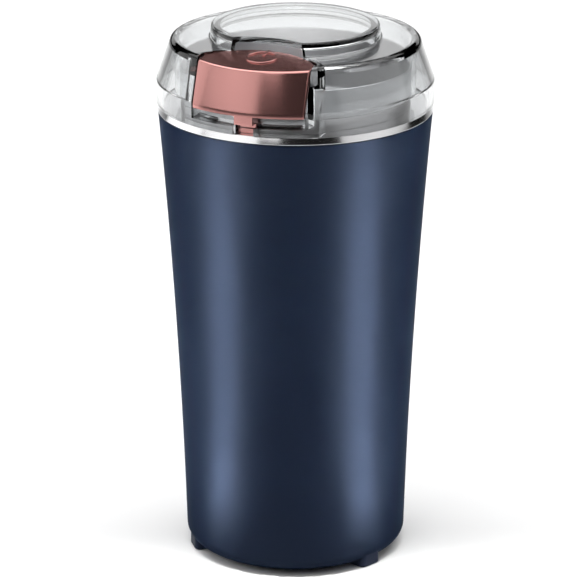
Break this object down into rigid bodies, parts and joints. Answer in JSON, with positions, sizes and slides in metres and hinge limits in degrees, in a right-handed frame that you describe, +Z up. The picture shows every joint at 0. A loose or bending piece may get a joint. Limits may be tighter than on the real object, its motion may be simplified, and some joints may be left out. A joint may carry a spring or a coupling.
{
  "type": "electric spice grinder",
  "caption": "Upright electric grinder for spices and beans: flared housing, steel bowl with a spinning blade, and a clear lift-off lid whose press button works the switch.",
  "frame": {"origin": "on the surface the feet stand on, under the housing's axis", "axes": "+Z up along the housing's and the motor's axis, -Y towards the press button, +X to the right seen from the button's side"},
  "size_m": [0.0948, 0.0948, 0.1887],
  "materials": {
    "navy_plastic": "satin moulded navy, soft sheen",
    "cover_plastic": "fine texture",
    "foot_rubber": "matt navy",
    "chrome": "polished",
    "bowl_steel": "drawn and polished",
    "clear_plastic": "clear, polished",
    "rose_plastic": "metallic rose finish, satin",
    "black_rubber": "matt",
    "grey_plastic": "moulded grey",
    "black_plastic": "moulded black",
    "fan_plastic": "moulded off-white",
    "key_plastic": "moulded red",
    "cast_alloy": "die cast",
    "zinc_steel": "zinc plated",
    "spring_steel": "drawn wire",
    "lamination_steel": "stamped sheets, varnished",
    "copper": "enamelled copper",
    "brass": "stamped",
    "carbon": "pressed carbon",
    "board_green": "printed board",
    "film_red": "dipped",
    "fuse_cream": "ceramic"
  },
  "bodies": {
    "housing": {"body_shell": "navy_plastic", "base_cover": "cover_plastic", "base_screws": "zinc_steel", "foot_left": "foot_rubber", "foot_right": "foot_rubber", "foot_rear": "foot_rubber", "cord_gland": "black_rubber", "trim_ring": "chrome", "bowl": "bowl_steel", "bowl_nut": "zinc_steel", "shaft_seal": "black_rubber", "chassis": "grey_plastic", "chassis_screws": "zinc_steel", "damper_left": "black_rubber", "damper_right": "black_rubber", "damper_front": "black_rubber", "damper_rear": "black_rubber", "mount_screws": "zinc_steel", "upper_bracket": "cast_alloy", "upper_bearing": "zinc_steel", "lower_bracket": "cast_alloy", "lower_bearing": "zinc_steel", "motor_bolts": "zinc_steel", "stator_core": "lamination_steel", "field_coil_front": "copper", "field_coil_rear": "copper", "brush_holder_front": "brass", "brush_holder_rear": "brass", "carbon_brush_front": "carbon", "carbon_brush_rear": "carbon", "brush_spring_front": "spring_steel", "brush_spring_rear": "spring_steel", "circuit_board": "board_green", "board_screws": "zinc_steel", "bridge_rectifier": "black_plastic", "film_capacitor": "film_red", "thermal_fuse": "fuse_cream", "micro_switch": "black_plastic", "switch_bracket": "zinc_steel", "switch_screws": "zinc_steel", "rod_spring": "spring_steel"},
    "rotor": {"motor_shaft": "zinc_steel", "armature_core": "lamination_steel", "armature_windings": "copper", "commutator": "copper", "cooling_fan": "fan_plastic", "blade_spacer": "zinc_steel", "blade": "bowl_steel", "blade_washer": "zinc_steel", "blade_nut": "zinc_steel"},
    "lid": {"lid": "clear_plastic", "button_spring_left": "spring_steel", "button_spring_right": "spring_steel"},
    "button": {"button": "rose_plastic"},
    "push_rod": {"push_rod": "rose_plastic"},
    "switch_lever": {"switch_lever": "spring_steel"},
    "switch_key": {"switch_key": "key_plastic"}
  },
  "joints": [
    {"name": "blade_spin", "type": "hinge", "parent": "housing", "child": "rotor", "pos_m": [0, 0, 0.1], "axis": [0, 0, 1], "continuous": true},
    {"name": "lid_lift", "type": "slide", "parent": "housing", "child": "lid", "axis": [0, 0, 1], "range_m": [0, 0.06]},
    {"name": "button_press", "type": "slide", "parent": "lid", "child": "button", "axis": [0, 0, -1], "range_m": [0, 0.003], "stiffness_N_per_m": 600, "springref_m": -0.003, "deforming": ["button_spring_left", "button_spring_right"]},
    {"name": "rod_press", "type": "slide", "parent": "housing", "child": "push_rod", "axis": [0, 0, -1], "range_m": [0, 0.003], "stiffness_N_per_m": 300, "springref_m": -0.004, "deforming": ["rod_spring"]},
    {"name": "lever_turn", "type": "hinge", "parent": "housing", "child": "switch_lever", "pos_m": [-0.009, -0.03528, 0.1019], "axis": [0, 1, 0], "range_deg": [0, 18.3]},
    {"name": "key_press", "type": "slide", "parent": "housing", "child": "switch_key", "axis": [0, 0, -1], "range_m": [0, 0.0015]}
  ],
  "couplings": [
    {"joint": "rod_press", "follows": "button_press", "ratio": 1},
    {"joint": "lever_turn", "follows": "button_press", "rad_per_m": 105.8},
    {"joint": "key_press", "follows": "button_press", "ratio": 0.5}
  ]
}
